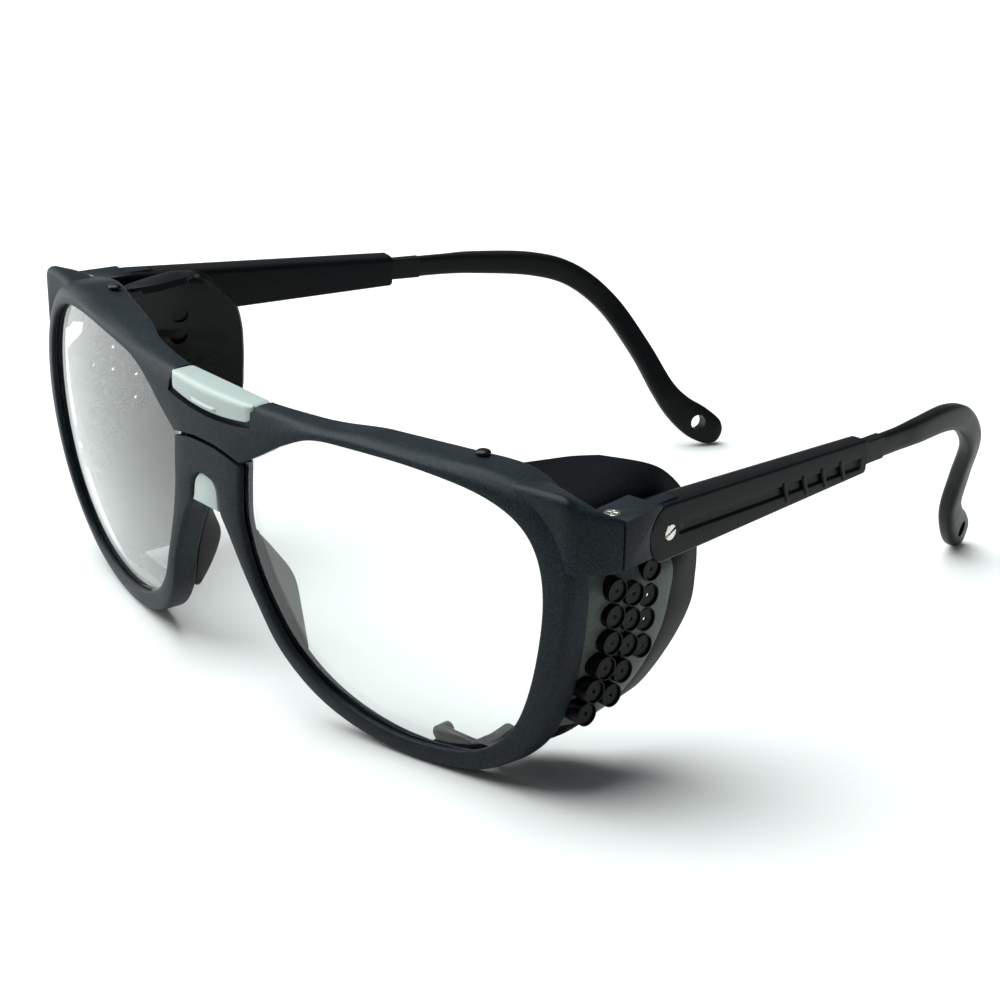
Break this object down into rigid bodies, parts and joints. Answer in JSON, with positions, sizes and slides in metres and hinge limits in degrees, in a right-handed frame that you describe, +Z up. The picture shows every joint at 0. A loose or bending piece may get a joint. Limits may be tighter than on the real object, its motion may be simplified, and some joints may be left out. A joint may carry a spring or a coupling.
{
  "type": "welding glasses",
  "caption": "Safety glasses with a split-bridge moulded front, a bridge clip, vented cup side shields, and temples that fold, tilt and slide in length.",
  "frame": {"origin": "middle of the bounding box's underside, on the surface that the rims and ear tips stand on", "axes": "+X to the wearer's left, +Y from the front to the ear tips, +Z up"},
  "size_m": [0.1412, 0.1446, 0.0516],
  "materials": {
    "frame": "satin, fine moulded grain",
    "shield": "satin",
    "temple": "semi-gloss",
    "ear": "satin",
    "clip": "satin",
    "pad": "soft matte",
    "lens": "clear, polished",
    "screw": "nickel plated"
  },
  "bodies": {
    "front": {"frame_front": "frame", "bridge_insert": "clip", "left_lens": "lens", "right_lens": "lens", "left_nose_pad": "pad", "right_nose_pad": "pad", "left_side_shield": "shield", "right_side_shield": "shield"},
    "clip": {"bridge_clip": "clip"},
    "left_hinge": {"left_hinge_block": "temple", "left_hinge_screw": "screw"},
    "left_temple": {"left_temple_sleeve": "temple", "left_pivot_screw": "screw", "left_pivot_nut": "screw"},
    "left_ear": {"left_ear_piece": "ear"},
    "right_hinge": {"right_hinge_block": "temple", "right_hinge_screw": "screw"},
    "right_temple": {"right_temple_sleeve": "temple", "right_pivot_screw": "screw", "right_pivot_nut": "screw"},
    "right_ear": {"right_ear_piece": "ear"}
  },
  "joints": [
    {"name": "clip_slide", "type": "slide", "parent": "front", "child": "clip", "axis": [0, 0, 1], "range_m": [0, 0.016]},
    {"name": "left_temple_fold", "type": "hinge", "parent": "front", "child": "left_hinge", "pos_m": [0.0668, -0.0495, 0.04275], "axis": [0, 0, 1], "range_deg": [0, 72], "deforming": ["left_side_shield"]},
    {"name": "left_temple_tilt", "type": "hinge", "parent": "left_hinge", "child": "left_temple", "pos_m": [0.06528, -0.04043, 0.0418], "axis": [-0.9863, -0.165, 0], "range_deg": [-10, 10]},
    {"name": "left_ear_slide", "type": "slide", "parent": "left_temple", "child": "left_ear", "axis": [-0.1648, 0.985, -0.0506], "range_m": [-0.0102, 0]},
    {"name": "right_temple_fold", "type": "hinge", "parent": "front", "child": "right_hinge", "pos_m": [-0.0668, -0.0495, 0.04275], "axis": [0, 0, 1], "range_deg": [-72, 0], "deforming": ["right_side_shield"]},
    {"name": "right_temple_tilt", "type": "hinge", "parent": "right_hinge", "child": "right_temple", "pos_m": [-0.06528, -0.04043, 0.0418], "axis": [0.9863, -0.165, 0], "range_deg": [-10, 10]},
    {"name": "right_ear_slide", "type": "slide", "parent": "right_temple", "child": "right_ear", "axis": [0.1648, 0.985, -0.0506], "range_m": [-0.0102, 0]}
  ]
}
